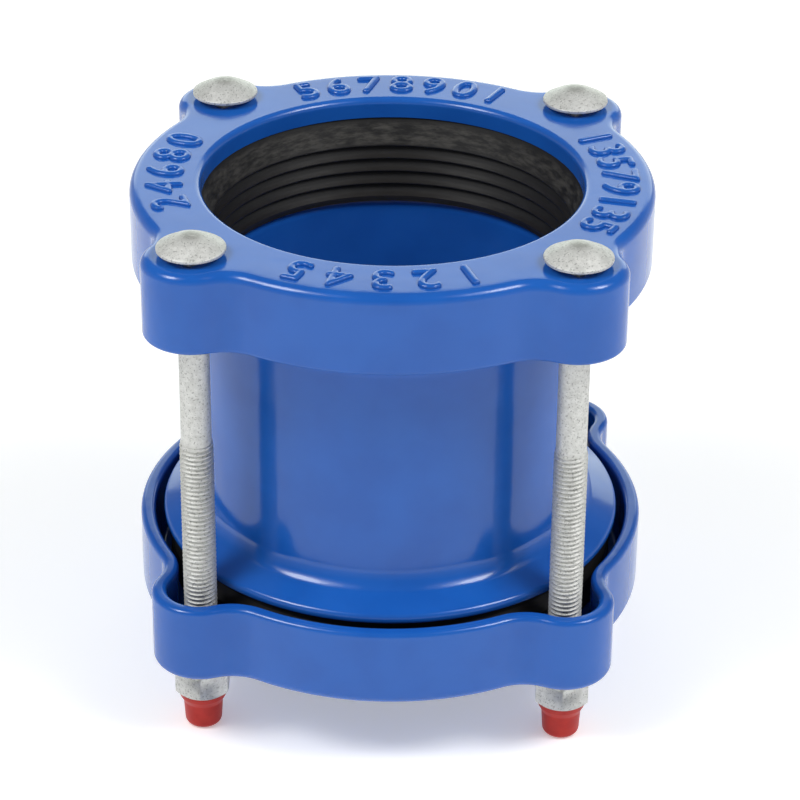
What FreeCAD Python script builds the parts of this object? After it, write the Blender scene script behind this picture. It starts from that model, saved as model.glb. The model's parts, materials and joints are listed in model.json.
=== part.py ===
import FreeCAD, Part
import os

import Sketcher
from FreeCAD import Vector


# Flexible coupling for plain-ended pipe, in millimetres.
# The coupling's axis is Z. Z = 0 is the floor that its four thread caps stand on.
# The front is -Y, and the bolts stand at 45 degrees to the front.

doc = FreeCAD.newDocument("flexible_coupling")

SIZES = [
    ("ring_diameter", 187, "outside of a ring, between its lobes"),
    ("section_depth", 29.5, "from the largest pipe that fits to the outside of a ring"),
    ("ring_bore_play", 4.2, "space between that pipe and the hole of a ring"),
    ("ring_height", 30, "height of a ring's casting"),
    ("web_thickness", 7.5, "flat wall of a ring, round the pipe hole"),
    ("skirt_wall", 5.5, "wall of a ring's skirt and lobes"),
    ("bolt_inset", 1, "how far inside the outside of a ring the bolts' centres lie"),
    ("lobe_radius", 17.5, "outside of a lobe, about its bolt"),
    ("lobe_blend", 16, "hollow curve where a lobe runs into the ring"),
    ("crown_rounding", 3.5, "outer edge of a ring's flat face"),
    ("lip_rounding", 2.5, "edge of the pipe hole on the flat face"),
    ("rim_rounding", 2, "inner and outer edge of a skirt's rim"),
    ("cavity_rounding", 3, "corner inside a ring, where skirt and web meet"),
    ("sleeve_length", 106, "centre sleeve, end to end"),
    ("sleeve_play", 2, "space between the largest pipe and the centre sleeve's barrel"),
    ("sleeve_wall", 5.5, "wall of the barrel"),
    ("flare_gap", 3.2, "space between a flare and the skirt round it"),
    ("flare_length", 9.6, "outside of a flare, from its end to the barrel"),
    ("flare_lip", 3.2, "straight edge at the end of a flare"),
    ("mouth_wall", 8.8, "thickness of a flare's end face"),
    ("mouth_depth", 14, "depth of the cone inside a flare"),
    ("flare_hollow", 8, "curve from the barrel into a flare, and from the bore into its cone"),
    ("flare_shoulder", 2, "curve from a flare's slope to its lip"),
    ("mouth_rounding", 1, "edge between a flare's end face and its cone"),
    ("gasket_play", 0.5, "space between the largest pipe and a gasket's ribs"),
    ("gasket_standout", 21, "how far a gasket stands out of the sleeve while the bolts are loose"),
    ("nose_gap", 2, "from a gasket's nose to the foot of the flare's cone"),
    ("gasket_inset", 5.5, "space between a gasket's heel and the skirt"),
    ("gasket_gap", 0.4, "space between a gasket and the flare's cone"),
    ("gasket_lead", 4.5, "how far the entry cone opens out beyond the ribs"),
    ("entry_depth", 10, "height of a gasket's smooth entry cone"),
    ("rib_count", 4, "sealing ribs on top of the last one at the nose"),
    ("rib_pitch", 5.2, "rib to rib"),
    ("rib_height", 2.4, "depth of the grooves between the ribs"),
    ("rib_undercut", 0.7, "slope of the side of a rib that faces the nose"),
    ("bolt_size", 12, "outside of the thread"),
    ("shank_diameter", 10.8, "plain shank, as thick as the blank that the thread is rolled on"),
    ("thread_length", 118, "threaded part of a bolt"),
    ("thread_chamfer", 1.2, "chamfer at the end of the thread"),
    ("head_diameter", 24, "mushroom head of a bolt"),
    ("head_height", 5.6, "height of that head"),
    ("head_edge", 1.1, "straight edge round the head"),
    ("head_lift", 2, "how far the loose bolts stand up out of the upper ring"),
    ("neck_width", 12.3, "square neck under the head"),
    ("neck_length", 7, "length of the square neck"),
    ("neck_play", 0.4, "space round the neck in the ring's square hole"),
    ("washer_diameter", 24, "outside of a washer"),
    ("washer_thickness", 2.5, "thickness of a washer"),
    ("washer_play", 0.5, "space between thread and washer"),
    ("nut_width", 19, "across the flats of a nut"),
    ("nut_height", 10.8, "height of a nut"),
    ("nut_play", 0.05, "running space between thread and nut"),
    ("nut_bevel", 1.5, "height of the bevel on a nut's corners"),
    ("nut_face_inset", 0.3, "how far inside its flats the bevel of a nut begins"),
    ("cap_height", 14.3, "thread cap, over all"),
    ("cap_base", 1, "closed end of a thread cap"),
    ("cap_play", 0.05, "space between thread and thread cap"),
    ("cap_gap", 0.3, "space between a nut and the cap below it"),
    ("cap_collar", 17.8, "outside of the collar at the cap's mouth"),
    ("cap_waist", 14.4, "outside of the cap below its collar"),
    ("cap_foot", 13.2, "outside of the cap at its closed end"),
    ("collar_height", 2.6, "straight part of the collar"),
    ("collar_slope", 1.8, "height of the slope under the collar"),
    ("cap_rounding", 2.8, "edge of the closed end"),
    ("cap_funnel", 1.2, "how far the cap's mouth opens out"),
]

sheet = doc.addObject("Spreadsheet::Sheet", "Sizes")
for row, (alias, number, meaning) in enumerate(SIZES, 1):
    sheet.set(f"A{row}", meaning)
    sheet.set(f"B{row}", str(number))
    sheet.setAlias(f"B{row}", alias)
doc.recompute()

# Places that follow from the sizes, as expressions on the sheet.
# The stack on a bolt, from the floor: cap, nut, washer, lower ring.
NUT_BOTTOM = "(Sizes.cap_height + Sizes.cap_gap)"
WASHER_BOTTOM = f"({NUT_BOTTOM} + Sizes.nut_height)"
LOWER_FACE = f"({WASHER_BOTTOM} + Sizes.washer_thickness)"
# The rings rest on the gaskets, and the gaskets in the sleeve's flares.
RING_SPACING = "(Sizes.sleeve_length + 2 * (Sizes.gasket_standout + Sizes.web_thickness))"
UPPER_FACE = f"({LOWER_FACE} + {RING_SPACING})"
MIDDLE = f"({LOWER_FACE} + {RING_SPACING} / 2)"

RING_RADIUS = "(Sizes.ring_diameter / 2)"
PIPE_RADIUS = f"({RING_RADIUS} - Sizes.section_depth)"
HOLE_RADIUS = f"({PIPE_RADIUS} + Sizes.ring_bore_play)"
CAVITY_RADIUS = f"({RING_RADIUS} - Sizes.skirt_wall)"
BOLT_RADIUS = f"({RING_RADIUS} - Sizes.bolt_inset)"
THREAD_RADIUS = "(Sizes.bolt_size / 2)"

# The bolts by their places in the front view, going round from between +X and +Y.
CORNERS = ["back_right", "back_left", "front_left", "front_right"]
QUARTER = 360 / len(CORNERS)


def measure(expression):
    """The number that an expression on the sheet stands for."""
    value = sheet.evalExpression(expression)
    return float(getattr(value, "Value", value))


def new_body(label):
    body = doc.addObject("PartDesign::Body", label)
    body.Label = label
    return body


def sketch_on(body, name, role, lift=None):
    """A sketch on one of the body's own origin planes, lifted off it if need be."""
    plane = next(item for item in body.Origin.OriginFeatures if item.Role == role)
    sketch = body.newObject("Sketcher::SketchObject", name)
    sketch.AttachmentSupport = [(plane, "")]
    sketch.MapMode = "FlatFace"
    if lift:
        sketch.setExpression("AttachmentOffset.Base.z", lift)
    return sketch


def pin_point(sketch, line, end, across, along):
    """Dimension one end of a line from the sketch's origin, by two expressions."""
    for kind, expression, axis in (("DistanceX", across, -2), ("DistanceY", along, -1)):
        number = measure(expression)
        if abs(number) < 1e-9:
            sketch.addConstraint(Sketcher.Constraint("PointOnObject", line, end, axis))
        else:
            index = sketch.addConstraint(Sketcher.Constraint(kind, -1, 1, line, end, number))
            sketch.setExpression(f"Constraints[{index}]", expression)


def draw_polygon(sketch, corners):
    """Close an outline of straight lines, given each corner as two expressions."""
    points = [Vector(measure(across), measure(along), 0) for across, along in corners]
    count = len(points)
    for index in range(count):
        sketch.addGeometry(Part.LineSegment(points[index], points[(index + 1) % count]), False)
    for index in range(count):
        sketch.addConstraint(Sketcher.Constraint("Coincident", index, 2, (index + 1) % count, 1))
    for index, (across, along) in enumerate(corners):
        pin_point(sketch, index, 1, across, along)


def draw_circle(sketch, radius, across="0", along="0"):
    centre = Vector(measure(across), measure(along), 0)
    circle = sketch.addGeometry(Part.Circle(centre, Vector(0, 0, 1), measure(radius)), False)
    pin_point(sketch, circle, 3, across, along)
    index = sketch.addConstraint(Sketcher.Constraint("Radius", circle, measure(radius)))
    sketch.setExpression(f"Constraints[{index}]", radius)


def draw_square(sketch, side, across="0"):
    """A square with its middle on the sketch's horizontal axis."""
    half = f"({side} / 2)"
    draw_polygon(sketch, [
        (f"{across} - {half}", f"-{half}"),
        (f"{across} + {half}", f"-{half}"),
        (f"{across} + {half}", half),
        (f"{across} - {half}", half),
    ])


def pad(body, sketch, name, length, downward=False):
    feature = body.newObject("PartDesign::Pad", name)
    feature.Profile = sketch
    feature.setExpression("Length", length)
    feature.Reversed = downward
    doc.recompute()
    return feature


def pocket(body, sketch, name, depth, upward=False):
    feature = body.newObject("PartDesign::Pocket", name)
    feature.Profile = sketch
    feature.setExpression("Length", depth)
    feature.Reversed = upward
    doc.recompute()
    return feature


def revolve(body, sketch, name, kind="Revolution"):
    """Turn a sketch of the XZ plane about the body's axis, as a solid or as a groove."""
    feature = body.newObject(f"PartDesign::{kind}", name)
    feature.Profile = sketch
    feature.ReferenceAxis = (sketch, ["V_Axis"])
    feature.Angle = 360
    doc.recompute()
    return feature


def repeat_round(body, feature, name, count):
    """Repeat a feature round the body's Z axis."""
    axis = next(item for item in body.Origin.OriginFeatures if item.Role == "Z_Axis")
    pattern = body.newObject("PartDesign::PolarPattern", name)
    pattern.Originals = [feature]
    pattern.Axis = (axis, [""])
    pattern.Angle = 360
    pattern.Occurrences = count
    body.Tip = pattern
    doc.recompute()
    return pattern


def round_edges(body, name, chosen, radius):
    """Fillet the edges of the body's last feature that the test picks."""
    base = body.Tip
    names = [f"Edge{n}" for n, edge in enumerate(base.Shape.Edges, 1) if chosen(edge)]
    if not names:
        raise RuntimeError(f"{body.Label}: no edge for {name}")
    fillet = body.newObject("PartDesign::Fillet", name)
    fillet.Base = (base, names)
    fillet.setExpression("Radius", radius)
    body.Tip = fillet
    doc.recompute()
    return fillet


def is_upright(edge):
    """Whether an edge runs along Z."""
    box = edge.BoundBox
    return box.ZLength > 1e-3 and box.XLength < 1e-6 and box.YLength < 1e-6


def lies_at(edge, height):
    """Whether an edge lies level, at a height in the body's own frame."""
    box = edge.BoundBox
    return box.ZLength < 1e-3 and abs(box.ZMin - measure(height)) < 1e-3


def circle_at(edge, radius, height):
    """Whether an edge is a circle round the body's axis, of that radius and at that height."""
    curve = edge.Curve
    if not isinstance(curve, Part.Circle) or not lies_at(edge, height):
        return False
    on_axis = abs(curve.Center.x) + abs(curve.Center.y) < 1e-3
    return on_axis and abs(curve.Radius - measure(radius)) < 1e-3


def reach(edge):
    """The distance of an edge's middle from the body's axis."""
    middle = edge.valueAt((edge.FirstParameter + edge.LastParameter) / 2)
    return (middle.x ** 2 + middle.y ** 2) ** 0.5


def place(body, height, corner=None, turn=0, flip=False):
    """Set a body at its height, on the axis or on one bolt's line, turned about Z."""
    turned = FreeCAD.Rotation(Vector(0, 0, 1), turn)
    if flip:
        turned = turned * FreeCAD.Rotation(Vector(1, 0, 0), 180)
    body.Placement = FreeCAD.Placement(Vector(0, 0, 0), turned)
    if corner is not None:
        body.setExpression("Placement.Base.x", f"{BOLT_RADIUS} * cos({corner})")
        body.setExpression("Placement.Base.y", f"{BOLT_RADIUS} * sin({corner})")
    body.setExpression("Placement.Base.z", height)


# The two flange rings are one casting, used twice: a shallow pan with a pipe hole in its
# flat web and a skirt whose wall runs out round each bolt in a hollow lobe.
# In its own frame the flat face is at Z = 0, and the skirt hangs below it.

def flange_ring(label):
    body = new_body(label)
    rim = "(-Sizes.ring_height)"
    ceiling = "(-Sizes.web_thickness)"

    sketch = sketch_on(body, "disc_outline", "XY_Plane")
    draw_circle(sketch, RING_RADIUS)
    pad(body, sketch, "disc", "Sizes.ring_height", downward=True)

    sketch = sketch_on(body, "lobe_outline", "XY_Plane")
    draw_circle(sketch, "Sizes.lobe_radius", across=BOLT_RADIUS)
    lobe = pad(body, sketch, "lobe", "Sizes.ring_height", downward=True)
    repeat_round(body, lobe, "lobes", len(CORNERS))
    round_edges(body, "lobe_blends", is_upright, "Sizes.lobe_blend")

    # The pan's hollow keeps the same wall all round, so its blends have the same centres.
    cavity_depth = "(Sizes.ring_height - Sizes.web_thickness)"
    sketch = sketch_on(body, "cavity_outline", "XY_Plane", lift=rim)
    draw_circle(sketch, CAVITY_RADIUS)
    pocket(body, sketch, "cavity", cavity_depth, upward=True)

    sketch = sketch_on(body, "lobe_cavity_outline", "XY_Plane", lift=rim)
    draw_circle(sketch, "(Sizes.lobe_radius - Sizes.skirt_wall)", across=BOLT_RADIUS)
    hollow = pocket(body, sketch, "lobe_cavity", cavity_depth, upward=True)
    repeat_round(body, hollow, "lobe_cavities", len(CORNERS))

    def is_cavity_corner(edge):
        corner = abs(reach(edge) - measure(CAVITY_RADIUS)) < 1e-3
        return is_upright(edge) and corner and edge.BoundBox.ZMax < measure(ceiling) + 1e-3

    blend = "(Sizes.lobe_blend + Sizes.skirt_wall)"
    round_edges(body, "cavity_blends", is_cavity_corner, blend)

    sketch = sketch_on(body, "pipe_hole_outline", "XY_Plane")
    draw_circle(sketch, HOLE_RADIUS)
    pocket(body, sketch, "pipe_hole", "Sizes.ring_height")

    # Edges are rounded while the flat face has no bolt holes in it.
    def is_crown(edge):
        return lies_at(edge, "0") and not circle_at(edge, HOLE_RADIUS, "0")

    def is_rim(edge):
        return lies_at(edge, rim)

    def is_lip(edge):
        return circle_at(edge, HOLE_RADIUS, "0")

    def is_cavity_floor(edge):
        return lies_at(edge, ceiling) and not circle_at(edge, HOLE_RADIUS, ceiling)

    round_edges(body, "crown", is_crown, "Sizes.crown_rounding")
    round_edges(body, "rim", is_rim, "Sizes.rim_rounding")
    round_edges(body, "lip", is_lip, "Sizes.lip_rounding")
    round_edges(body, "cavity_corner", is_cavity_floor, "Sizes.cavity_rounding")

    # Square holes keep the bolts' square necks from turning.
    sketch = sketch_on(body, "neck_hole_outline", "XY_Plane")
    draw_square(sketch, "(Sizes.neck_width + 2 * Sizes.neck_play)", across=BOLT_RADIUS)
    hole = pocket(body, sketch, "neck_hole", "Sizes.ring_height")
    repeat_round(body, hole, "neck_holes", len(CORNERS))
    return body


upper_ring = flange_ring("upper_ring")
place(upper_ring, UPPER_FACE, turn=QUARTER / 2)

lower_ring = flange_ring("lower_ring")
place(lower_ring, LOWER_FACE, turn=QUARTER / 2, flip=True)


# The centre sleeve is cast in one piece: a plain barrel that flares at both ends. The cone
# inside each flare is a gasket's seat. In its own frame Z = 0 is halfway along.

FLARE_RADIUS = f"({CAVITY_RADIUS} - Sizes.flare_gap)"
MOUTH_RADIUS = f"({FLARE_RADIUS} - Sizes.mouth_wall)"
BORE_RADIUS = f"({PIPE_RADIUS} + Sizes.sleeve_play)"
BARREL_RADIUS = f"({BORE_RADIUS} + Sizes.sleeve_wall)"
SLEEVE_END = "(Sizes.sleeve_length / 2)"

sleeve = new_body("sleeve")
inner_side = [
    (BORE_RADIUS, f"({SLEEVE_END} - Sizes.mouth_depth)"),
    (MOUTH_RADIUS, SLEEVE_END),
]
outer_side = [
    (FLARE_RADIUS, SLEEVE_END),
    (FLARE_RADIUS, f"({SLEEVE_END} - Sizes.flare_lip)"),
    (BARREL_RADIUS, f"({SLEEVE_END} - Sizes.flare_length)"),
]
upper_half = inner_side + outer_side
lower_half = [(across, f"-{along}") for across, along in reversed(upper_half)]
section = sketch_on(sleeve, "sleeve_section", "XZ_Plane")
draw_polygon(section, upper_half + lower_half)
revolve(sleeve, section, "sleeve_wall")


def at_both_ends(radius, height):
    """A test for the circle of that radius at that height above and below the middle."""
    def chosen(edge):
        return circle_at(edge, radius, height) or circle_at(edge, radius, f"-{height}")
    return chosen


slope_top = f"({SLEEVE_END} - Sizes.flare_lip)"
slope_foot = f"({SLEEVE_END} - Sizes.flare_length)"
cone_foot = f"({SLEEVE_END} - Sizes.mouth_depth)"
edge_rounding = "(Sizes.flare_lip / 2)"
round_edges(sleeve, "hollow", at_both_ends(BARREL_RADIUS, slope_foot), "Sizes.flare_hollow")
round_edges(sleeve, "shoulder", at_both_ends(FLARE_RADIUS, slope_top), "Sizes.flare_shoulder")
round_edges(sleeve, "cone_foot", at_both_ends(BORE_RADIUS, cone_foot), "Sizes.flare_hollow")
round_edges(sleeve, "end_edge", at_both_ends(FLARE_RADIUS, SLEEVE_END), edge_rounding)
round_edges(sleeve, "mouth_edge", at_both_ends(MOUTH_RADIUS, SLEEVE_END), "Sizes.mouth_rounding")
place(sleeve, MIDDLE)


# The gaskets are moulded rubber wedges. The heel lies against the ring's web, the outer
# cone follows the flare's, and ribs line the bore. In its own frame the heel's face is at
# Z = 0, and the nose points down.

RIB_RADIUS = f"({PIPE_RADIUS} + Sizes.gasket_play)"
HEEL_RADIUS = f"({CAVITY_RADIUS} - Sizes.gasket_inset)"
CONE_SLOPE = f"(({MOUTH_RADIUS} - {BORE_RADIUS}) / Sizes.mouth_depth)"
# How far the gasket reaches into the cone, and its whole length.
NOSE_REACH = "(Sizes.mouth_depth - Sizes.nose_gap)"
GASKET_LENGTH = f"(Sizes.gasket_standout + {NOSE_REACH})"
# Where the heel's cylinder meets the cone, and how wide the cone still is at the nose.
CONE_RISE = f"(({HEEL_RADIUS} + Sizes.gasket_gap - {MOUTH_RADIUS}) / {CONE_SLOPE})"
HEEL_DEPTH = f"(Sizes.gasket_standout - {CONE_RISE})"
NOSE_RADIUS = f"({MOUTH_RADIUS} - Sizes.gasket_gap - {CONE_SLOPE} * {NOSE_REACH})"


def wedge_gasket(label):
    body = new_body(label)
    section = sketch_on(body, "wedge_section", "XZ_Plane")
    draw_polygon(section, [
        (f"({RIB_RADIUS} + Sizes.gasket_lead)", "0"),
        (HEEL_RADIUS, "0"),
        (HEEL_RADIUS, f"-{HEEL_DEPTH}"),
        (NOSE_RADIUS, f"-{GASKET_LENGTH}"),
        (RIB_RADIUS, f"-{GASKET_LENGTH}"),
        (RIB_RADIUS, "-Sizes.entry_depth"),
    ])
    revolve(body, section, "wedge")

    # Each rib is a saw tooth: undercut towards the nose, with a long slope to the next.
    section = sketch_on(body, "groove_section", "XZ_Plane")
    floor = f"({RIB_RADIUS} + Sizes.rib_height)"
    over = f"({RIB_RADIUS} - Sizes.gasket_play)"
    draw_polygon(section, [
        (over, "-Sizes.entry_depth"),
        (RIB_RADIUS, "-Sizes.entry_depth"),
        (floor, "-(Sizes.entry_depth + Sizes.rib_undercut)"),
        (RIB_RADIUS, "-(Sizes.entry_depth + Sizes.rib_pitch)"),
        (over, "-(Sizes.entry_depth + Sizes.rib_pitch)"),
    ])
    groove = revolve(body, section, "groove", kind="Groove")
    axis = next(item for item in body.Origin.OriginFeatures if item.Role == "Z_Axis")
    ribs = body.newObject("PartDesign::LinearPattern", "ribs")
    ribs.Originals = [groove]
    ribs.Direction = (axis, [""])
    ribs.Reversed = True
    ribs.setExpression("Length", "Sizes.rib_pitch * (Sizes.rib_count - 1)")
    ribs.setExpression("Occurrences", "Sizes.rib_count")
    body.Tip = ribs
    doc.recompute()
    return body


upper_gasket = wedge_gasket("upper_gasket")
place(upper_gasket, f"{UPPER_FACE} - Sizes.web_thickness")

lower_gasket = wedge_gasket("lower_gasket")
place(lower_gasket, f"{LOWER_FACE} + Sizes.web_thickness", flip=True)


# The bolts are forged from round bar: a mushroom head, a square neck, a plain shank and a
# rolled thread. In its own frame the head's underside is at Z = 0, and the shank hangs down.

BOLT_LENGTH = f"({UPPER_FACE} + Sizes.head_lift - Sizes.cap_base)"


def mushroom_bolt(label):
    body = new_body(label)
    sketch = sketch_on(body, "bolt_section", "XZ_Plane")
    shank = "(Sizes.shank_diameter / 2)"
    end = f"(-{BOLT_LENGTH})"
    corners = [
        ("Sizes.head_diameter / 2", "Sizes.head_edge"),
        ("Sizes.head_diameter / 2", "0"),
        (shank, "0"),
        (shank, f"({end} + Sizes.thread_length)"),
        (THREAD_RADIUS, f"({end} + Sizes.thread_length - Sizes.thread_chamfer / 2)"),
        (THREAD_RADIUS, f"({end} + Sizes.thread_chamfer)"),
        (f"({THREAD_RADIUS} - Sizes.thread_chamfer)", end),
        ("0", end),
        ("0", "Sizes.head_height"),
    ]
    points = [Vector(measure(across), measure(along), 0) for across, along in corners]
    for index in range(len(points) - 1):
        sketch.addGeometry(Part.LineSegment(points[index], points[index + 1]), False)
    # The head's dome is one arc, round a centre on the axis.
    edge_drop = measure("Sizes.head_height - Sizes.head_edge")
    dome = (points[0].x ** 2 + edge_drop ** 2) / (2 * edge_drop)
    centre = measure("Sizes.head_height") - dome
    halfway = points[0].x / 2
    side = Vector(halfway, centre + (dome ** 2 - halfway ** 2) ** 0.5, 0)
    arc = sketch.addGeometry(Part.Arc(points[-1], side, points[0]), False)
    for index in range(len(points) - 2):
        sketch.addConstraint(Sketcher.Constraint("Coincident", index, 2, index + 1, 1))
    first_end, last_end = (1, 2) if sketch.getPoint(arc, 1).x > sketch.getPoint(arc, 2).x else (2, 1)
    sketch.addConstraint(Sketcher.Constraint("Coincident", arc, first_end, 0, 1))
    sketch.addConstraint(Sketcher.Constraint("Coincident", arc, last_end, len(points) - 2, 2))
    sketch.addConstraint(Sketcher.Constraint("PointOnObject", arc, 3, -2))
    for index, (across, along) in enumerate(corners[:-1]):
        pin_point(sketch, index, 1, across, along)
    pin_point(sketch, len(points) - 2, 2, *corners[-1])
    revolve(body, sketch, "turned_form")

    sketch = sketch_on(body, "neck_outline", "XY_Plane")
    draw_square(sketch, "Sizes.neck_width")
    pad(body, sketch, "neck", "Sizes.neck_length", downward=True)
    return body


def plain_washer(label):
    body = new_body(label)
    sketch = sketch_on(body, "washer_outline", "XY_Plane")
    draw_circle(sketch, "Sizes.washer_diameter / 2")
    draw_circle(sketch, f"({THREAD_RADIUS} + Sizes.washer_play)")
    pad(body, sketch, "washer", "Sizes.washer_thickness")
    return body


# The nuts are hexagons with bevelled corners at both faces.

def hexagon_nut(label):
    body = new_body(label)
    corner_radius = "(Sizes.nut_width / 2 / cos(30))"
    sketch = sketch_on(body, "nut_outline", "XY_Plane")
    draw_polygon(sketch, [
        (f"{corner_radius} * cos({turn})", f"{corner_radius} * sin({turn})")
        for turn in range(30, 390, 60)
    ])
    pad(body, sketch, "hexagon", "Sizes.nut_height")

    # Each bevel is cut by a cone that goes on well past the corners.
    inside = "(Sizes.nut_width / 2 - Sizes.nut_face_inset)"
    outside = "Sizes.nut_width"
    drop = f"(Sizes.nut_bevel * ({outside} - {inside}) / ({corner_radius} - {inside}))"
    for name, face, down in (("top_bevel", "Sizes.nut_height", "-"), ("bottom_bevel", "0", "+")):
        sketch = sketch_on(body, f"{name}_section", "XZ_Plane")
        draw_polygon(sketch, [
            (inside, face),
            (outside, face),
            (outside, f"({face} {down} {drop})"),
        ])
        revolve(body, sketch, name, kind="Groove")

    sketch = sketch_on(body, "nut_bore_outline", "XY_Plane")
    draw_circle(sketch, f"({THREAD_RADIUS} + Sizes.nut_play)")
    pocket(body, sketch, "nut_bore", "Sizes.nut_height", upward=True)
    return body


# The thread caps are soft plastic cups with a collar, pushed on over the thread's end.
# In its own frame the closed end is at Z = 0.

def thread_cap(label):
    body = new_body(label)
    section = sketch_on(body, "cap_section", "XZ_Plane")
    bore = f"({THREAD_RADIUS} + Sizes.cap_play)"
    collar_foot = "(Sizes.cap_height - Sizes.collar_height)"
    draw_polygon(section, [
        ("0", "0"),
        ("Sizes.cap_foot / 2", "0"),
        ("Sizes.cap_waist / 2", f"({collar_foot} - Sizes.collar_slope)"),
        ("Sizes.cap_collar / 2", collar_foot),
        ("Sizes.cap_collar / 2", "Sizes.cap_height"),
        (f"({bore} + Sizes.cap_funnel)", "Sizes.cap_height"),
        (bore, "(Sizes.cap_height - Sizes.cap_funnel)"),
        (bore, "Sizes.cap_base"),
        ("0", "Sizes.cap_base"),
    ])
    revolve(body, section, "cup")

    def is_foot(edge):
        return circle_at(edge, "Sizes.cap_foot / 2", "0")

    round_edges(body, "foot_edge", is_foot, "Sizes.cap_rounding")
    return body


for number, corner in enumerate(CORNERS):
    angle = QUARTER * (number + 0.5)
    bolt = mushroom_bolt(f"bolt_{corner}")
    place(bolt, f"{UPPER_FACE} + Sizes.head_lift", corner=angle, turn=angle)
    washer = plain_washer(f"washer_{corner}")
    place(washer, WASHER_BOTTOM, corner=angle)
    nut = hexagon_nut(f"nut_{corner}")
    place(nut, NUT_BOTTOM, corner=angle)
    cap = thread_cap(f"thread_cap_{corner}")
    place(cap, "0", corner=angle)

doc.recompute()

# Write each piece, after a test that every feature worked.
faults = [item.Name for item in doc.Objects if {"Invalid", "Error"} & set(item.State)]
if faults:
    raise RuntimeError(f"failed features: {faults}")
pieces = [item for item in doc.Objects if item.isDerivedFrom("PartDesign::Body")]
for piece in pieces:
    if piece.Shape.isNull() or not piece.Shape.isValid():
        raise RuntimeError(f"{piece.Label}: the shape is not valid")
os.makedirs("parts", exist_ok=True)
for piece in pieces:
    piece.Shape.exportStep(f"parts/{piece.Label}.step")
    print(piece.Label, round(piece.Shape.Volume, 1), len(piece.Shape.Solids))
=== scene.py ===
import json
import math

import bmesh
import bpy
from mathutils import Matrix, Vector


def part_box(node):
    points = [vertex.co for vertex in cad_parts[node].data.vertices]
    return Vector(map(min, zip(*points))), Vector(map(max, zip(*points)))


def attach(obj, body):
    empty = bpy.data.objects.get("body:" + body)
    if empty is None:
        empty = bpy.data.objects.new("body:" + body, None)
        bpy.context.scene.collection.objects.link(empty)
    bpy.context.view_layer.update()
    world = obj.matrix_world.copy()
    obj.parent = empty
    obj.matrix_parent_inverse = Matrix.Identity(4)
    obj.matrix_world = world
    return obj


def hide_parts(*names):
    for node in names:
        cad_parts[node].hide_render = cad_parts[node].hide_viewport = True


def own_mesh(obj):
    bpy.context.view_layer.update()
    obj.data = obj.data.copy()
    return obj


# A flexible coupling that joins two plain pipe ends, in the order in which it is put
# together. The axis is Z, the front is -Y, and the bolts stand at 45 degrees to it.

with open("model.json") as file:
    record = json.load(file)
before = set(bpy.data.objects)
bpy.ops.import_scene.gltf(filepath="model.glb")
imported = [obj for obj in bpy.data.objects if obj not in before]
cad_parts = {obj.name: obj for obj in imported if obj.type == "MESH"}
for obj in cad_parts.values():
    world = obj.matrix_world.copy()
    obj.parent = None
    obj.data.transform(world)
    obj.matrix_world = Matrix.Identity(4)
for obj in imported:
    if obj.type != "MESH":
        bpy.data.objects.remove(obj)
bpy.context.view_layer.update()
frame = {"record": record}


# The flange rings: one ductile iron casting, used twice, a shallow pan with the pipe's hole
# in its flat web. Its skirt runs out round each bolt in a hollow lobe, with the same wall
# all round, and plain figures are cast on the web. Blasted, then dipped in blue epoxy.

MM = 0.001
TOUCH = 0.002 * MM
CORNERS = ["back_right", "back_left", "front_left", "front_right"]
QUARTER = 360 / len(CORNERS)

RING_RADIUS = 93.5 * MM
RING_HEIGHT = 30 * MM
SKIRT_WALL = 5.5 * MM
WEB_THICKNESS = 7.5 * MM
HOLE_RADIUS = 68.2 * MM
BOLT_RADIUS = 92.5 * MM
LOBE_RADIUS = 17.5 * MM
LOBE_BLEND = 16 * MM
CROWN_ROUNDING = 3.5 * MM
RIM_ROUNDING = 2 * MM
CAVITY_ROUNDING = 3 * MM
LIP_ROUNDING = 2.5 * MM
NECK_HOLE = 13.1 * MM
NECK_HOLE_CORNER = 1.2 * MM
NECK_HOLE_FLARE = 0.8 * MM
LOBE_STEPS = 13
BLEND_STEPS = 10
SKIRT_STEPS = 30
LIP_STEPS = 7

FIGURE_RADIUS = 80.4 * MM
FIGURE_SIZE = 18.5 * MM
FIGURE_BOLDNESS = 0.5 * MM
FIGURE_RELIEF = 0.7 * MM
FIGURE_GRAIN = 0.3 * MM
FIGURE_SOFTENING = 7
# What is cast on the web at each side, by the angle of its middle and the step to the next.
CAST_FIGURES = [
    ("12345", 270, 10.5),
    ("24680", 180, 9.5),
    ("5678901", 90, 8.6),
    ("13579135", 0, 7.6),
]


class Tone:
    """A value in a finish's nodes. Arithmetic on it adds the Math nodes that it takes."""

    def __init__(self, finish, socket):
        self.finish = finish
        self.socket = socket

    def maths(self, operation, first, second):
        terms = {0: first, 1: second}
        return self.finish.node("ShaderNodeMath", {"operation": operation}, terms)

    def __add__(self, other):
        return self.maths("ADD", self, other)

    def __radd__(self, other):
        return self.maths("ADD", other, self)

    def __sub__(self, other):
        return self.maths("SUBTRACT", self, other)

    def __rsub__(self, other):
        return self.maths("SUBTRACT", other, self)

    def __mul__(self, other):
        return self.maths("MULTIPLY", self, other)

    def __rmul__(self, other):
        return self.maths("MULTIPLY", other, self)

    def fraction(self):
        """What is left above the next whole number down."""
        return self.maths("FRACT", self, 0)

    def rise(self, low, high):
        """0 up to the low value, 1 from the high value on, and a smooth step between."""
        step = {"interpolation_type": "SMOOTHSTEP"}
        ends = {"Value": self, "From Min": low, "From Max": high}
        return self.finish.node("ShaderNodeMapRange", step, ends)


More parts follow.
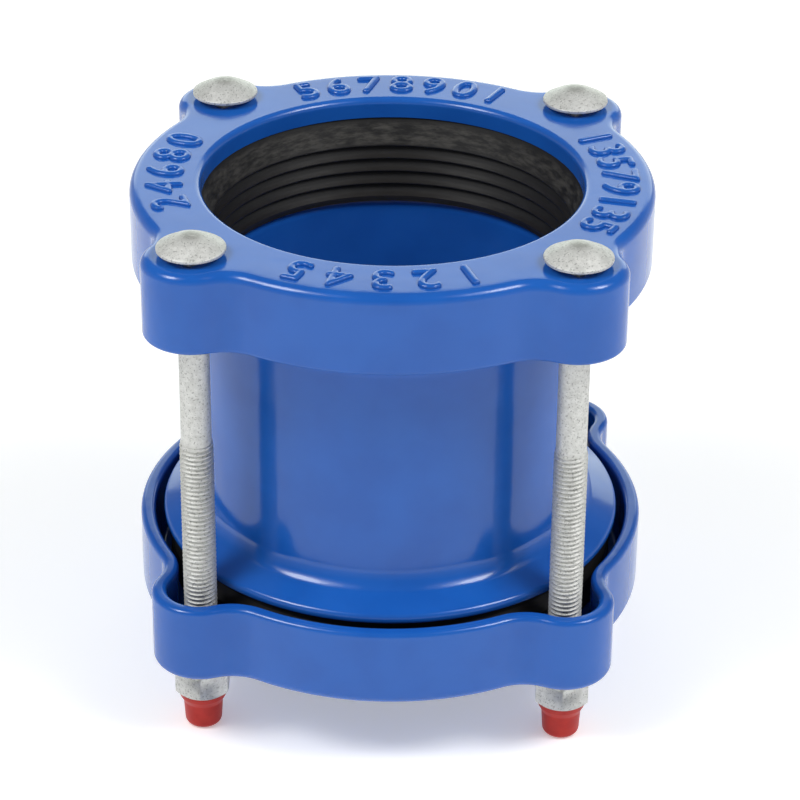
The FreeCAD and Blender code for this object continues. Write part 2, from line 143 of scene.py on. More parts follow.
class Finish:
    """The finish of one material of the coupling, as a Principled shader and its nodes."""

    def __init__(self, name, constants):
        self.material = bpy.data.materials.new(name)
        self.material.use_nodes = True
        self.tree = self.material.node_tree
        self.shader = self.tree.nodes["Principled BSDF"]
        for socket, constant in constants.items():
            self.shader.inputs[socket].default_value = constant
        self.place = self.node("ShaderNodeTexCoord", output="Object")

    def node(self, kind, settings=None, sockets=None, output=0):
        node = self.tree.nodes.new(kind)
        for name, setting in (settings or {}).items():
            setattr(node, name, setting)
        for name, value in (sockets or {}).items():
            self.feed(node.inputs[name], value)
        return Tone(self, node.outputs[output])

    def feed(self, socket, value):
        if isinstance(value, Tone):
            self.tree.links.new(value.socket, socket)
        else:
            socket.default_value = value

    def noise(self, grain, detail=2, roughness=0.5, place=None):
        """Cloudy values round 0.5, with blotches of about that size."""
        sockets = {"Vector": place or self.place, "Scale": 1 / grain, "Detail": detail,
                   "Roughness": roughness}
        return self.node("ShaderNodeTexNoise", None, sockets)

    def blend(self, factor, first, second):
        """A colour between two others."""
        sockets = {0: factor, 6: first, 7: second}
        return self.node("ShaderNodeMix", {"data_type": "RGBA"}, sockets, output=2)

    def height(self, value):
        """Raise or sink the surface by a value in metres."""
        sockets = {"Strength": 1, "Distance": 1, "Height": value}
        self.feed(self.shader.inputs["Normal"], self.node("ShaderNodeBump", None, sockets))

    def shade(self, base_color, roughness):
        self.feed(self.shader.inputs["Base Color"], base_color)
        self.feed(self.shader.inputs["Roughness"], roughness)


def blue_epoxy():
    coat = Finish("blue_epoxy", {"Specular IOR Level": 0.45})
    # Thicker and thinner coat over the sand-cast skin, and a fine orange peel.
    pooling = coat.noise(24 * MM, detail=3)
    skin = coat.noise(9 * MM, detail=2)
    peel = coat.noise(1.1 * MM, detail=1)
    coat.height(pooling * (0.16 * MM) + skin * (0.028 * MM) + peel * (0.0022 * MM))
    depth = pooling.rise(0.35, 0.68)
    coat.shade(coat.blend(depth, (0.012, 0.11, 0.462, 1), (0.010, 0.096, 0.42, 1)),
               0.1 + 0.07 * skin)
    return coat.material


BLUE_EPOXY = blue_epoxy()


def start_wire(name):
    """A new piece with one point at the origin, left open in edit mode."""
    bpy.ops.object.select_all(action="DESELECT")
    bpy.ops.mesh.primitive_plane_add(size=MM)
    piece = bpy.context.object
    piece.name = name
    piece.data.name = name
    bpy.ops.object.mode_set(mode="EDIT")
    bpy.ops.mesh.select_all(action="SELECT")
    bpy.ops.mesh.merge(type="CENTER")
    return piece


def pick(piece, test):
    """In edit mode, select the points of a piece that pass a test."""
    bpy.ops.mesh.select_all(action="DESELECT")
    shape = bmesh.from_edit_mesh(piece.data)
    for point in shape.verts:
        point.select = test(point)
    shape.select_flush(True)
    bmesh.update_edit_mesh(piece.data)


def draw_section(piece, corners, closed=False):
    """Draw lines through corners of (across, up, rounding), then round each corner."""
    places = [Vector((across, 0, up)) for across, up, rounding in corners]
    bpy.ops.transform.translate(value=places[0])
    for here, there in zip(places, places[1:]):
        bpy.ops.mesh.extrude_vertices_move(TRANSFORM_OT_translate={"value": there - here})
    if closed:
        pick(piece, lambda point: min((point.co - places[0]).length,
                                      (point.co - places[-1]).length) < TOUCH)
        bpy.ops.mesh.edge_face_add()
    for index, (across, up, rounding) in enumerate(corners):
        if rounding:
            here = places[index]
            after = places[(index + 1) % len(places)]
            bend = (here - places[index - 1]).angle(after - here)
            pick(piece, lambda point: (point.co - here).length < TOUCH)
            bpy.ops.mesh.bevel(offset=rounding * math.tan(bend / 2), affect="VERTICES",
                               segments=max(2, round(math.degrees(bend) / 11)))


def settle(piece):
    """Merge the seams of a piece, turn its faces outwards and go back to object mode."""
    bpy.ops.mesh.select_all(action="SELECT")
    bpy.ops.mesh.remove_doubles(threshold=TOUCH)
    bpy.ops.mesh.normals_make_consistent(inside=False)
    bpy.ops.object.mode_set(mode="OBJECT")


def turned(name, corners, steps, closed=False):
    """A piece turned round the Z axis from a section."""
    piece = start_wire(name)
    draw_section(piece, corners, closed)
    bpy.ops.mesh.select_all(action="SELECT")
    bpy.ops.mesh.spin(steps=steps, angle=2 * math.pi, center=(0, 0, 0), axis=(0, 0, 1))
    settle(piece)
    return piece


def select_only(piece):
    bpy.ops.object.select_all(action="DESELECT")
    piece.select_set(True)
    bpy.context.view_layer.objects.active = piece


def put(piece, place=(0, 0, 0), turn=(0, 0, 0)):
    """Move and turn a piece, with its object left at the origin and the move in its mesh."""
    select_only(piece)
    piece.location = place
    piece.rotation_euler = [math.radians(angle) for angle in turn]
    bpy.ops.object.transform_apply(location=True, rotation=True, scale=True)
    return piece


def copy_of(piece, name):
    twin = piece.copy()
    twin.data = piece.data.copy()
    twin.name = name
    twin.data.name = name
    bpy.context.collection.objects.link(twin)
    return twin


def combine(piece, other, operation):
    """Cut another solid out of a piece, add it, or keep only what both share."""
    select_only(piece)
    boolean = piece.modifiers.new("combine", "BOOLEAN")
    boolean.operation = operation
    boolean.solver = "EXACT"
    boolean.object = other
    bpy.ops.object.modifier_apply(modifier=boolean.name)
    bpy.data.objects.remove(other)


def join(pieces):
    select_only(pieces[0])
    for piece in pieces:
        piece.select_set(True)
    bpy.ops.object.join()
    return pieces[0]


def smooth(piece, sharpest=32):
    """Shade the curves smooth and keep the flat faces flat."""
    select_only(piece)
    bpy.ops.object.shade_smooth_by_angle(angle=math.radians(sharpest))
    weighted = piece.modifiers.new("flats", "WEIGHTED_NORMAL")
    weighted.keep_sharp = True
    bpy.ops.object.modifier_apply(modifier=weighted.name)


def stand_for(piece, node, finish):
    """Let a piece show in place of a solid, on the same body."""
    bodies = frame["record"]["behaviour"]["bodies"]
    piece.data.materials.clear()
    piece.data.materials.append(finish)
    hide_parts(node)
    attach(piece, next(body for body, nodes in bodies.items() if node in nodes))


def around(radius, angle, height=0):
    """The place at that radius and angle round the Z axis."""
    turn = math.radians(angle)
    return Vector((radius * math.cos(turn), radius * math.sin(turn), height))


def square_tool(name, width, corner, flare, depth):
    """A square block to cut or add, flared out at its top, which is at the level of Z = 0."""
    bpy.ops.object.select_all(action="DESELECT")
    bpy.ops.mesh.primitive_plane_add(size=width, location=(0, 0, -depth))
    piece = bpy.context.object
    piece.name = name
    bpy.ops.object.transform_apply(location=True)
    bpy.ops.object.mode_set(mode="EDIT")
    bpy.ops.mesh.select_all(action="SELECT")
    bpy.ops.mesh.bevel(offset=corner, segments=4, affect="VERTICES")
    bpy.ops.mesh.extrude_region_move(TRANSFORM_OT_translate={"value": (0, 0, depth - flare)})
    wider = (width + 2 * flare) / width
    for _ in range(2):
        bpy.ops.mesh.extrude_region_move(TRANSFORM_OT_translate={"value": (0, 0, flare)})
        if flare:
            bpy.ops.transform.resize(value=(wider, wider, 1))
    settle(piece)
    return piece


def cast_figures():
    """The raised figures of one web, softened by the coat, with their feet in the iron."""
    figures = []
    for row, middle, step in CAST_FIGURES:
        for index, figure in enumerate(row):
            # A row is read clockwise, as seen from the flat face.
            angle = middle - step * (index - (len(row) - 1) / 2)
            bpy.ops.object.select_all(action="DESELECT")
            bpy.ops.object.text_add()
            text = bpy.context.object
            text.data.body = figure
            text.data.align_x = "CENTER"
            text.data.align_y = "CENTER"
            text.data.size = FIGURE_SIZE
            text.data.extrude = FIGURE_RELIEF
            bpy.ops.object.convert(target="MESH")
            place = around(FIGURE_RADIUS, angle)
            figures.append(put(bpy.context.object, place, (0, 0, angle - 90)))
    figures = join(figures)
    remesh = figures.modifiers.new("skin", "REMESH")
    remesh.voxel_size = FIGURE_GRAIN
    swell = figures.modifiers.new("boldness", "DISPLACE")
    swell.strength = FIGURE_BOLDNESS
    swell.mid_level = 0
    soften = figures.modifiers.new("coat", "SMOOTH")
    soften.factor = 0.5
    soften.iterations = FIGURE_SOFTENING
    for modifier in (remesh, swell, soften):
        bpy.ops.object.modifier_apply(modifier=modifier.name)
    return figures


def flange_ring():
    """The casting, with its flat face at Z = 0 and its skirt below."""
    ring = start_wire("flange_ring")
    tip = BOLT_RADIUS + LOBE_RADIUS
    inside = tip - SKIRT_WALL
    draw_section(ring, [
        (inside, 0, 0),
        (tip, 0, CROWN_ROUNDING),
        (tip, -RING_HEIGHT, RIM_ROUNDING),
        (inside, -RING_HEIGHT, RIM_ROUNDING),
        (inside, -WEB_THICKNESS, CAVITY_ROUNDING),
        (inside - SKIRT_WALL, -WEB_THICKNESS, 0),
    ])
    # The wall's section is swept round the bolt, the hollow of the blend and the ring's axis
    # in turn. The blend's centre is where a circle that touches both would have it.
    far = RING_RADIUS + LOBE_BLEND
    near = LOBE_RADIUS + LOBE_BLEND
    cosine = (BOLT_RADIUS**2 + far**2 - near**2) / (2 * BOLT_RADIUS * far)
    blend_turn = math.degrees(math.acos(cosine))
    lobe_turn = math.degrees(math.asin(far * math.sin(math.radians(blend_turn)) / near))
    bpy.ops.mesh.select_all(action="SELECT")
    for number in range(len(CORNERS)):
        here = QUARTER * number
        there = here + QUARTER
        for centre, turn, steps in [
            (around(BOLT_RADIUS, here), lobe_turn, LOBE_STEPS),
            (around(far, here + blend_turn), blend_turn - lobe_turn, BLEND_STEPS),
            (Vector(), QUARTER - 2 * blend_turn, SKIRT_STEPS),
            (around(far, there - blend_turn), blend_turn - lobe_turn, BLEND_STEPS),
            (around(BOLT_RADIUS, there), lobe_turn, LOBE_STEPS),
        ]:
            # An axis that points down makes a positive turn go anticlockwise.
            bpy.ops.mesh.spin(steps=steps, angle=math.radians(turn), center=centre,
                              axis=(0, 0, -1))
    bpy.ops.mesh.select_all(action="SELECT")
    bpy.ops.mesh.remove_doubles(threshold=TOUCH)

    # Both faces of the web run in from the skirt to the pipe's hole.
    for height in (0, -WEB_THICKNESS):
        pick(ring, lambda point: point.is_boundary and abs(point.co.z - height) < TOUCH)
        bpy.ops.mesh.extrude_edges_move(TRANSFORM_OT_translate={"value": (0, 0, 0)})
        bpy.ops.transform.tosphere(value=1)
        shape = bmesh.from_edit_mesh(ring.data)
        reach = next(point.co.xy.length for point in shape.verts if point.select)
        bpy.ops.transform.resize(value=(HOLE_RADIUS / reach, HOLE_RADIUS / reach, 1))
    pick(ring, lambda point: point.is_boundary)
    bpy.ops.mesh.bridge_edge_loops()
    pick(ring, lambda point: abs(point.co.z) < TOUCH
         and abs(point.co.xy.length - HOLE_RADIUS) < TOUCH)
    bpy.ops.mesh.bevel(offset=LIP_ROUNDING, segments=LIP_STEPS, affect="EDGES")
    settle(ring)
    for number in range(len(CORNERS)):
        hole = square_tool("neck_hole", NECK_HOLE, NECK_HOLE_CORNER, NECK_HOLE_FLARE,
                           2 * WEB_THICKNESS)
        turn = QUARTER * number
        combine(ring, put(hole, around(BOLT_RADIUS, turn), (0, 0, turn)), "DIFFERENCE")
    put(ring, turn=(0, 0, QUARTER / 2))
    smooth(ring)
    figures = cast_figures()
    smooth(figures, sharpest=180)
    return join([ring, figures])


upper_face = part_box("upper_ring")[1][2]
lower_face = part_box("lower_ring")[0][2]
upper_ring = flange_ring()
upper_ring.name = "upper_ring_casting"
lower_ring = put(copy_of(upper_ring, "lower_ring_casting"), (0, 0, lower_face), (180, 0, 0))
put(upper_ring, (0, 0, upper_face))
stand_for(upper_ring, "upper_ring", BLUE_EPOXY)
stand_for(lower_ring, "lower_ring", BLUE_EPOXY)


# The centre sleeve: a ductile iron casting in the same blue epoxy, a plain barrel that
# flares at both ends. The cone inside each flare is the seat of a gasket.

SLEEVE_HALF = 53 * MM
SLEEVE_BORE = 66 * MM
BARREL_RADIUS = 71.5 * MM
MOUTH_RADIUS = 76 * MM
FLARE_RADIUS = 84.8 * MM
MOUTH_DEPTH = 14 * MM
FLARE_LENGTH = 9.6 * MM
FLARE_LIP = 3.2 * MM
FLARE_HOLLOW = 8 * MM
FLARE_SHOULDER = 2 * MM
FLARE_EDGE = 1.4 * MM
MOUTH_EDGE = 1 * MM
WIDE_STEPS = 240

upper_half = [
    (SLEEVE_BORE, SLEEVE_HALF - MOUTH_DEPTH, FLARE_HOLLOW),
    (MOUTH_RADIUS, SLEEVE_HALF, MOUTH_EDGE),
    (FLARE_RADIUS, SLEEVE_HALF, FLARE_EDGE),
    (FLARE_RADIUS, SLEEVE_HALF - FLARE_LIP, FLARE_SHOULDER),
    (BARREL_RADIUS, SLEEVE_HALF - FLARE_LENGTH, FLARE_HOLLOW),
]
lower_half = [(across, -up, rounding) for across, up, rounding in reversed(upper_half)]
sleeve = turned("centre_sleeve", upper_half + lower_half, steps=WIDE_STEPS, closed=True)
sleeve_low, sleeve_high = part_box("sleeve")
put(sleeve, (0, 0, (sleeve_low[2] + sleeve_high[2]) / 2))
smooth(sleeve)
stand_for(sleeve, "sleeve", BLUE_EPOXY)


# The gaskets: moulded rubber wedges, dusted with talc. The heel lies against a ring's web,
# the outside follows the flare's cone, and saw-tooth ribs line the bore.

RIB_RADIUS = 64.5 * MM
HEEL_RADIUS = 82.5 * MM
NOSE_RADIUS = 67.03 * MM
HEEL_DEPTH = 11.34 * MM
GASKET_LENGTH = 33 * MM
ENTRY_DEPTH = 10 * MM
ENTRY_LEAD = 4.5 * MM
RIBS = 4
RIB_PITCH = 5.2 * MM
RIB_HEIGHT = 2.4 * MM
RIB_UNDERCUT = 0.7 * MM
RIB_TIP = 0.35 * MM
RIB_ROOT = 0.5 * MM
WEDGE_EDGE = 1 * MM


def moulded_rubber(name, web):
    """Black rubber with painted shade, greyer where the pipe goes in at a ring's web."""
    rubber = Finish(name, {"Specular IOR Level": 0.45})
    # The cloud is drawn out round the bore, as the talc is wiped.
    wiped = rubber.node("ShaderNodeMapping", None, {"Vector": rubber.place, "Scale": (1, 1, 4)})
    cloud = rubber.noise(7 * MM, detail=5, roughness=0.65, place=wiped)
    grain = rubber.noise(0.5 * MM, detail=2)
    levels = rubber.node("ShaderNodeSeparateXYZ", None, {0: rubber.place}, output="Z")
    depth = levels - web if web < upper_face / 2 else web - levels
    entry = 1 - depth.rise(ENTRY_DEPTH - 2 * MM, ENTRY_DEPTH + MM)
    # Each rib's groove is dull and painted dark as shade from the lip; its lip is rubbed
    # glossy.
    rib = ((depth - (ENTRY_DEPTH + RIB_UNDERCUT)) * (1 / RIB_PITCH)).fraction()
    lip_vs_painted_groove_shade = rib.rise(0.42, 0.68) * (1 - entry)
    # Close under the web the talc is left out, as painted shade of the web.
    clear_of_painted_web_shade = depth.rise(0.5 * MM, 3.5 * MM)
    talc_and_painted_web_shade = cloud.rise(0.35, 0.7) * (0.1 + 0.9 * entry) * clear_of_painted_web_shade
    rubber.height(grain * (0.02 * MM) + cloud * (0.05 * MM))
    # Dark in the grooves and under the web as painted shade, lighter at the lips.
    ribs_with_painted_shade = rubber.blend(lip_vs_painted_groove_shade, (0.0016, 0.0014, 0.0015, 1), (0.0135, 0.012, 0.0115, 1))
    rubber.shade(rubber.blend(talc_and_painted_web_shade, ribs_with_painted_shade, (0.052, 0.049, 0.043, 1)),
                 0.58 - 0.28 * lip_vs_painted_groove_shade + 0.05 * talc_and_painted_web_shade)
    return rubber.material


def wedge_gasket():
    """A gasket with its heel's face at Z = 0 and its nose down."""
    section = [
        (NOSE_RADIUS, -GASKET_LENGTH, WEDGE_EDGE),
        (HEEL_RADIUS, -HEEL_DEPTH, WEDGE_EDGE),
        (HEEL_RADIUS, 0, WEDGE_EDGE),
        (RIB_RADIUS + ENTRY_LEAD, 0, WEDGE_EDGE),
        (RIB_RADIUS, -ENTRY_DEPTH, RIB_TIP),
    ]
    for rib in range(RIBS):
        top = ENTRY_DEPTH + RIB_PITCH * rib
        section += [
            (RIB_RADIUS + RIB_HEIGHT, -(top + RIB_UNDERCUT), RIB_ROOT),
            (RIB_RADIUS, -(top + RIB_PITCH), RIB_TIP),
        ]
    section.append((RIB_RADIUS, -GASKET_LENGTH, RIB_TIP))
    gasket = turned("gasket", section, steps=WIDE_STEPS, closed=True)
    smooth(gasket)
    return gasket


upper_web = upper_face - WEB_THICKNESS
lower_web = lower_face + WEB_THICKNESS
upper_gasket = wedge_gasket()
upper_gasket.name = "upper_gasket_ring"
lower_gasket = put(copy_of(upper_gasket, "lower_gasket_ring"), (0, 0, lower_web), (180, 0, 0))
put(upper_gasket, (0, 0, upper_web))
for gasket, node, web, joint in [
    (upper_gasket, "upper_gasket", upper_web, "sleeve_travel"),
    (lower_gasket, "lower_gasket", lower_web, "ring_travel"),
]:
    stand_for(gasket, node, moulded_rubber(f"{node}_rubber", web))
    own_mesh(gasket)


# The bolts: forged from bar, with a mushroom head, a square neck that the ring's hole
# keeps from turning, a plain shank and a rolled thread. Hot-dip galvanised.

THREAD_RADIUS = 6 * MM
PITCH = 1.75 * MM
THREAD_DEPTH = 0.93 * MM
THREAD_LENGTH = 118 * MM
THREAD_CHAMFER = 1.2 * MM
THREAD_STEPS = 28
RUN_OUT_LENGTH = 2.5 * PITCH
SHANK_RADIUS = 5.4 * MM
HEAD_RADIUS = 12 * MM
HEAD_HEIGHT = 5.6 * MM
HEAD_EDGE = 1.1 * MM
HEAD_RIM_ROUNDING = 0.5 * MM
HEAD_FOOT_ROUNDING = 0.3 * MM
HEAD_CROWN = 4 * MM
HEAD_DOME = 14 * MM
NECK_WIDTH = 12.3 * MM
NECK_LENGTH = 7 * MM
NECK_CORNER = 0.7 * MM
SMALL_STEPS = 64

bolt_bottom, bolt_top = (corner[2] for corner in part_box("bolt_front_left"))


def galvanised():
    """Matte zinc with a fine dark speckle, darker in patches on top of the heads."""
    zinc = Finish("galvanised_zinc", {"Metallic": 0.55})
    cloud = zinc.noise(1.9 * MM, detail=4, roughness=0.7)
    grain = zinc.noise(0.5 * MM, detail=3, roughness=0.6)
    pits = zinc.noise(0.7 * MM, detail=2).rise(0.58, 0.66)
    zinc.height(cloud * (0.05 * MM) + grain * (0.08 * MM) - pits * (0.03 * MM))
    levels = zinc.node("ShaderNodeSeparateXYZ", None, {0: zinc.place}, output="Z")
    # Darker in patches towards the top of each head.
    darker_top_patches = levels.rise(bolt_top - 0.9 * MM, bolt_top) * cloud.rise(0.35, 0.55)
    pale = zinc.blend(cloud.rise(0.3, 0.7), (0.57, 0.575, 0.55, 1), (0.71, 0.715, 0.69, 1))
    speckled = zinc.blend(pits * 0.6, pale, (0.2, 0.2, 0.19, 1))
    zinc.shade(zinc.blend(darker_top_patches * 0.8, speckled, (0.3, 0.3, 0.28, 1)), 0.45 + 0.2 * grain)
    return zinc.material


GALVANISED = galvanised()


def rolled_thread(bottom, top):
    """The threaded length of a bolt: one tooth's section, screwed round and up.

    The tooth's levels are parts of the pitch, with a rounded crest and root.
    """
    thread = start_wire("rolled_thread")
    root = THREAD_RADIUS - THREAD_DEPTH
    draw_section(thread, [
        (root, 0, 0),
        (root, 0.14 * PITCH, 0),
        (THREAD_RADIUS - 0.1 * THREAD_DEPTH, 0.42 * PITCH, 0),
        (THREAD_RADIUS, 0.5 * PITCH, 0),
        (THREAD_RADIUS, 0.6 * PITCH, 0),
        (THREAD_RADIUS - 0.1 * THREAD_DEPTH, 0.68 * PITCH, 0),
        (root, 0.96 * PITCH, 0),
        (root, PITCH, 0),
    ])
    bpy.ops.object.mode_set(mode="OBJECT")
    turns = math.ceil((top - bottom) / PITCH) + 2
    # The start is off by a part of the pitch, which keeps both cuts clear of the points.
    put(thread, (0, 0, bottom - 1.3 * PITCH))
    screw = thread.modifiers.new("turns", "SCREW")
    screw.screw_offset = PITCH
    screw.iterations = turns
    screw.steps = THREAD_STEPS
    screw.render_steps = screw.steps
    bpy.ops.object.modifier_apply(modifier=screw.name)
    bpy.ops.object.mode_set(mode="EDIT")
    bpy.ops.mesh.select_all(action="SELECT")
    bpy.ops.mesh.remove_doubles(threshold=TOUCH)
    for level, outer in ((top, True), (bottom, False)):
        bpy.ops.mesh.select_all(action="SELECT")
        bpy.ops.mesh.bisect(plane_co=(0, 0, level), plane_no=(0, 0, 1), use_fill=True,
                            clear_outer=outer, clear_inner=not outer, threshold=TOUCH / 10)
    settle(thread)
    return thread


def mushroom_bolt(length):
    """A bolt with its head's underside at Z = 0 and its shank below."""
    run_out = THREAD_LENGTH - length
    # A ring of points near each end of the shank keeps the joins off its long faces.
    bolt = turned("bolt", [
        (0, HEAD_HEIGHT, 0),
        (HEAD_CROWN, HEAD_HEIGHT, HEAD_DOME),
        (HEAD_RADIUS, HEAD_EDGE, HEAD_RIM_ROUNDING),
        (HEAD_RADIUS, 0, HEAD_FOOT_ROUNDING),
        (SHANK_RADIUS, 0, 0),
        (SHANK_RADIUS, -NECK_LENGTH - MM, 0),
        (SHANK_RADIUS, run_out + 2 * MM, 0),
        (SHANK_RADIUS, run_out, 0),
        (THREAD_RADIUS - 1.1 * THREAD_DEPTH, run_out - RUN_OUT_LENGTH, 0),
        (0, run_out - RUN_OUT_LENGTH, 0),
    ], steps=SMALL_STEPS)
    combine(bolt, square_tool("neck", NECK_WIDTH, NECK_CORNER, 0, NECK_LENGTH), "UNION")
    # The blank gives the thread its tapered start under the shank and its chamfered end.
    blank = turned("blank", [
        (0, run_out + MM, 0),
        (SHANK_RADIUS - 0.1 * MM, run_out + MM, 0),
        (THREAD_RADIUS + TOUCH, run_out - 2 * THREAD_CHAMFER, 0),
        (THREAD_RADIUS + TOUCH, THREAD_CHAMFER - length, 0),
        (THREAD_RADIUS - THREAD_CHAMFER, -length, 0),
        (0, -length, 0),
    ], steps=SMALL_STEPS)
    thread = rolled_thread(-length - PITCH, run_out + PITCH)
    combine(thread, blank, "INTERSECT")
    combine(bolt, thread, "UNION")
    smooth(bolt)
    return bolt


def at_every_bolt(model, kind, finish, level=None, faces_axis=False):
    """Copies of a model on the four bolts' axes, at a level or where their solids start."""
    for number, corner in enumerate(CORNERS):
        node = f"{kind}_{corner}"
        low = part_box(node)[0][2] if level is None else level
        angle = QUARTER * (number + 0.5)
        piece = copy_of(model, f"{corner}_{kind}")
        put(piece, around(BOLT_RADIUS, angle, low), (0, 0, angle if faces_axis else 0))
        stand_for(piece, node, finish)
    bpy.data.objects.remove(model)


head_seat = bolt_top - HEAD_HEIGHT
at_every_bolt(mushroom_bolt(head_seat - bolt_bottom), "bolt", GALVANISED,
              level=head_seat, faces_axis=True)


# The washers: stamped from sheet, galvanised like the bolts. One lies under the lower ring
# on each bolt.

WASHER_RADIUS = 12 * MM
WASHER_HOLE = 6.5 * MM
WASHER_THICKNESS = 2.5 * MM
WASHER_HOLE_EDGE = 0.3 * MM
WASHER_DIE_EDGE = 0.6 * MM
WASHER_BURR_EDGE = 0.2 * MM

model_washer = turned("washer", [
    (WASHER_HOLE, 0, WASHER_HOLE_EDGE),
    (WASHER_RADIUS, 0, WASHER_DIE_EDGE),
    (WASHER_RADIUS, WASHER_THICKNESS, WASHER_BURR_EDGE),
    (WASHER_HOLE, WASHER_THICKNESS, WASHER_HOLE_EDGE),
], steps=SMALL_STEPS, closed=True)
smooth(model_washer)
at_every_bolt(model_washer, "washer", GALVANISED)


# The nuts: pressed hexagons with bevelled corners, galvanised, with their bores tapped
# after that. Each one draws the lower ring up its bolt.

NUT_WIDTH = 19 * MM
NUT_HEIGHT = 10.8 * MM
NUT_BEVEL = 1.5 * MM
NUT_FACE = 9.2 * MM
NUT_BORE = 6.05 * MM
NUT_EDGE = 0.3 * MM
LENS_STEPS = 96


def hexagon_nut():
    """A nut with its lower face at Z = 0."""
    corner_radius = NUT_WIDTH / 2 / math.cos(math.radians(30))
    bpy.ops.object.select_all(action="DESELECT")
    bpy.ops.mesh.primitive_cylinder_add(vertices=6, radius=corner_radius, depth=NUT_HEIGHT,
                                        location=(0, 0, NUT_HEIGHT / 2))
    nut = bpy.context.object
    put(nut, nut.location, (0, 0, 0))
    # What the hexagon shares with the lens has its corners bevelled round both faces.
    slope = NUT_BEVEL / (corner_radius - NUT_FACE)
    wide = corner_radius + MM
    drop = slope * (wide - NUT_FACE)
    lens = turned("lens", [
        (0, 0, 0),
        (NUT_FACE, 0, 0),
        (wide, drop, 0),
        (wide, NUT_HEIGHT - drop, 0),
        (NUT_FACE, NUT_HEIGHT, 0),
        (0, NUT_HEIGHT, 0),
    ], steps=LENS_STEPS)
    combine(nut, lens, "INTERSECT")
    bore = turned("bore", [
        (0, -MM, 0),
        (NUT_BORE + 2 * MM, -MM, 0),
        (NUT_BORE, MM, 0),
        (NUT_BORE, NUT_HEIGHT - MM, 0),
        (NUT_BORE + 2 * MM, NUT_HEIGHT + MM, 0),
        (0, NUT_HEIGHT + MM, 0),
    ], steps=SMALL_STEPS)
    combine(nut, bore, "DIFFERENCE")
    edges = nut.modifiers.new("edges", "BEVEL")
    edges.width = NUT_EDGE
    edges.segments = 3
    edges.limit_method = "ANGLE"
    edges.angle_limit = math.radians(40)
    bpy.ops.object.modifier_apply(modifier=edges.name)
    smooth(nut)
    return nut


at_every_bolt(hexagon_nut(), "nut", GALVANISED)


# The thread caps: soft red plastic cups with a collar, moulded in one piece and pushed on
# over the threads' ends, which they keep clean until the coupling is fitted.

CAP_HEIGHT = 14.3 * MM
CAP_BASE = 1 * MM
CAP_BORE = 6.05 * MM
COLLAR_RADIUS = 8.9 * MM
COLLAR_HEIGHT = 2.6 * MM
COLLAR_SLOPE = 1.8 * MM
COLLAR_LIP = 0.9 * MM
WAIST_RADIUS = 7.2 * MM
FOOT_RADIUS = 6.6 * MM
FOOT_ROUNDING = 2.4 * MM
WAIST_ROUNDING = 2 * MM
COLLAR_ROUNDING = 1.5 * MM
COLLAR_DRAFT = 0.4 * MM
CAP_EDGE = 0.3 * MM
CAP_STEPS = 72


def red_plastic():
    red = Finish("red_plastic", {"Specular IOR Level": 0.3, "Subsurface Weight": 0.1})
    cloud = red.noise(4 * MM, detail=3)
    grain = red.noise(0.35 * MM, detail=1)
    red.height(cloud * (0.05 * MM) + grain * (0.004 * MM))
    red.shade(red.blend(cloud.rise(0.3, 0.7), (0.4, 0.011, 0.006, 1), (0.47, 0.018, 0.01, 1)),
              0.33 + 0.12 * cloud)
    return red.material


RED_PLASTIC = red_plastic()
collar_foot = CAP_HEIGHT - COLLAR_HEIGHT
model_cap = turned("cap", [
    (0, 0, 0),
    (FOOT_RADIUS, 0, FOOT_ROUNDING),
    (WAIST_RADIUS, collar_foot - COLLAR_SLOPE, WAIST_ROUNDING),
    (COLLAR_RADIUS - COLLAR_DRAFT, collar_foot + 0.6 * MM, COLLAR_ROUNDING),
    (COLLAR_RADIUS, CAP_HEIGHT, CAP_EDGE),
    (COLLAR_RADIUS - COLLAR_LIP, CAP_HEIGHT, CAP_EDGE),
    (CAP_BORE, collar_foot - COLLAR_SLOPE, MM),
    (CAP_BORE, CAP_BASE, CAP_EDGE),
    (0, CAP_BASE, 0),
], steps=CAP_STEPS)
smooth(model_cap)
at_every_bolt(model_cap, "thread_cap", RED_PLASTIC)


# The photographer's table: a white floor that glows a little, low white walls under a dim
# ceiling, a soft lamp at each side and a panel behind, and the camera above the front.

FLOOR_WIDTH = 8
FLOOR_WHITE = (0.95, 0.95, 0.95, 1)
FLOOR_SHADE = (0.94, 0.94, 0.94, 1)
FLOOR_CLOUD = 0.4
FLOOR_GLOW = 0.32
WALL_WHITE = 0.68
WALL_TOP = 0.5
CEILING_WHITE = 0.15
WHITE = (1, 1, 1)
PALE_GREEN = (0.88, 1, 0.9)
SIDE_LAMP_RISE = 54
# Each lamp by its angle round the coupling, its height angle, distance, size, power and
# colour. The side lamps are brightest at the middle, so each is three in one.
LAMPS = [("back_panel", 90, 17, 2.6, (3.0, 1.6), 21, PALE_GREEN)]
for side, angle in (("left", 211), ("right", 338)):
    LAMPS += [
        (f"{side}_core", angle, SIDE_LAMP_RISE, 1.6, (0.5, 0.5), 6, WHITE),
        (f"{side}_glow", angle, SIDE_LAMP_RISE, 1.65, (0.9, 0.8), 4.5, WHITE),
        (f"{side}_haze", angle, SIDE_LAMP_RISE, 1.7, (1.4, 1.2), 2.5, WHITE),
    ]
LOOK_AT_HEIGHT = 0.1
CAMERA_PLACE = (38.84 * MM, -1003.22 * MM, 663.4 * MM)
CAMERA_SWING = -2.027
CAMERA_DIP = 29.305
CAMERA_ROLL = 0.513
CAMERA_LENS = 140.12
CAMERA_SENSOR = 36


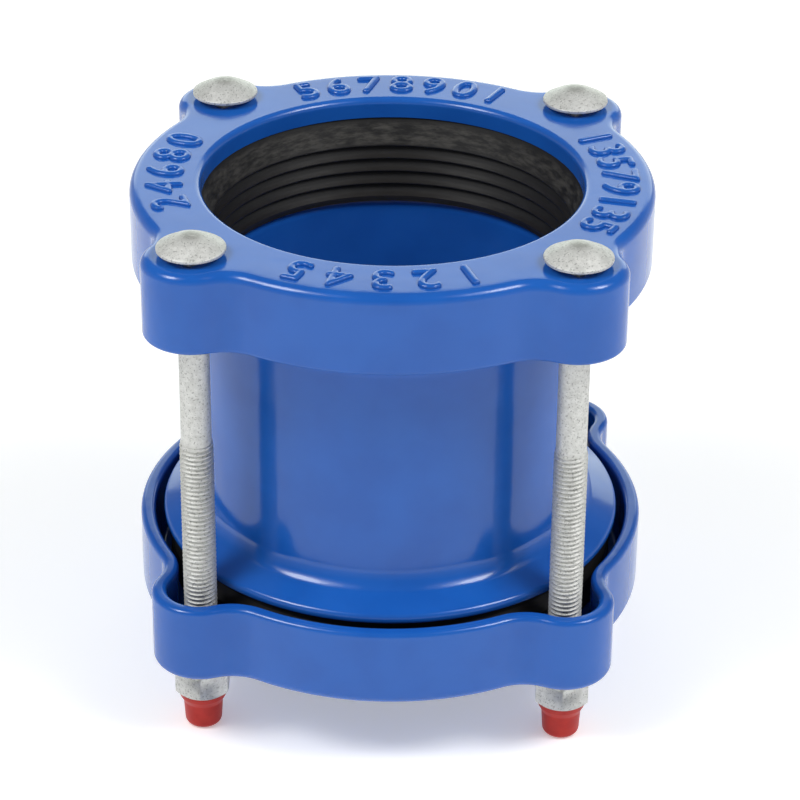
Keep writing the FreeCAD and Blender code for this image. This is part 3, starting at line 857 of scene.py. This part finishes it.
def white_floor():
    paper = Finish("white_floor", {
        "Emission Color": (1, 1, 1, 1),
        "Emission Strength": FLOOR_GLOW,
    })
    paper.shade(paper.blend(paper.noise(FLOOR_CLOUD), FLOOR_WHITE, FLOOR_SHADE), 0.8)
    return paper.material


bpy.ops.object.select_all(action="DESELECT")
bpy.ops.mesh.primitive_plane_add(size=FLOOR_WIDTH)
floor = bpy.context.object
floor.name = "floor"
floor.data.materials.append(white_floor())

world = bpy.data.worlds.new("studio")
world.use_nodes = True
sky = world.node_tree
direction = sky.nodes.new("ShaderNodeTexCoord").outputs["Generated"]
levels = sky.nodes.new("ShaderNodeSeparateXYZ")
brightness = sky.nodes.new("ShaderNodeMapRange")
brightness.inputs["From Max"].default_value = WALL_TOP
brightness.inputs["To Min"].default_value = WALL_WHITE
brightness.inputs["To Max"].default_value = CEILING_WHITE
sky.links.new(direction, levels.inputs[0])
sky.links.new(levels.outputs["Z"], brightness.inputs["Value"])
sky.links.new(brightness.outputs[0], sky.nodes["Background"].inputs["Strength"])
sky.nodes["Background"].inputs["Color"].default_value = (1, 1, 1, 1)
bpy.context.scene.world = world
bpy.context.scene.view_settings.view_transform = "Standard"

for name, angle, rise, distance, size, power, colour in LAMPS:
    lamp = bpy.data.lights.new(name, "AREA")
    lamp.shape = "ELLIPSE"
    lamp.size, lamp.size_y = size
    lamp.energy = power
    lamp.color = colour
    slope = math.radians(rise)
    place = around(distance * math.cos(slope), angle, distance * math.sin(slope))
    aim = Vector((0, 0, LOOK_AT_HEIGHT)) - place
    holder = bpy.data.objects.new(name, lamp)
    holder.location = place
    holder.rotation_euler = aim.to_track_quat("-Z", "Y").to_euler()
    bpy.context.collection.objects.link(holder)

camera = bpy.data.objects.new("camera", bpy.data.cameras.new("camera"))
camera.data.lens = CAMERA_LENS
camera.data.sensor_width = CAMERA_SENSOR
turn = Matrix.Rotation(math.radians(-CAMERA_SWING), 4, "Z")
dip = Matrix.Rotation(math.radians(90 - CAMERA_DIP), 4, "X")
roll = Matrix.Rotation(math.radians(CAMERA_ROLL), 4, "Z")
camera.matrix_world = Matrix.Translation(CAMERA_PLACE) @ turn @ dip @ roll
bpy.context.collection.objects.link(camera)
bpy.context.scene.camera = camera
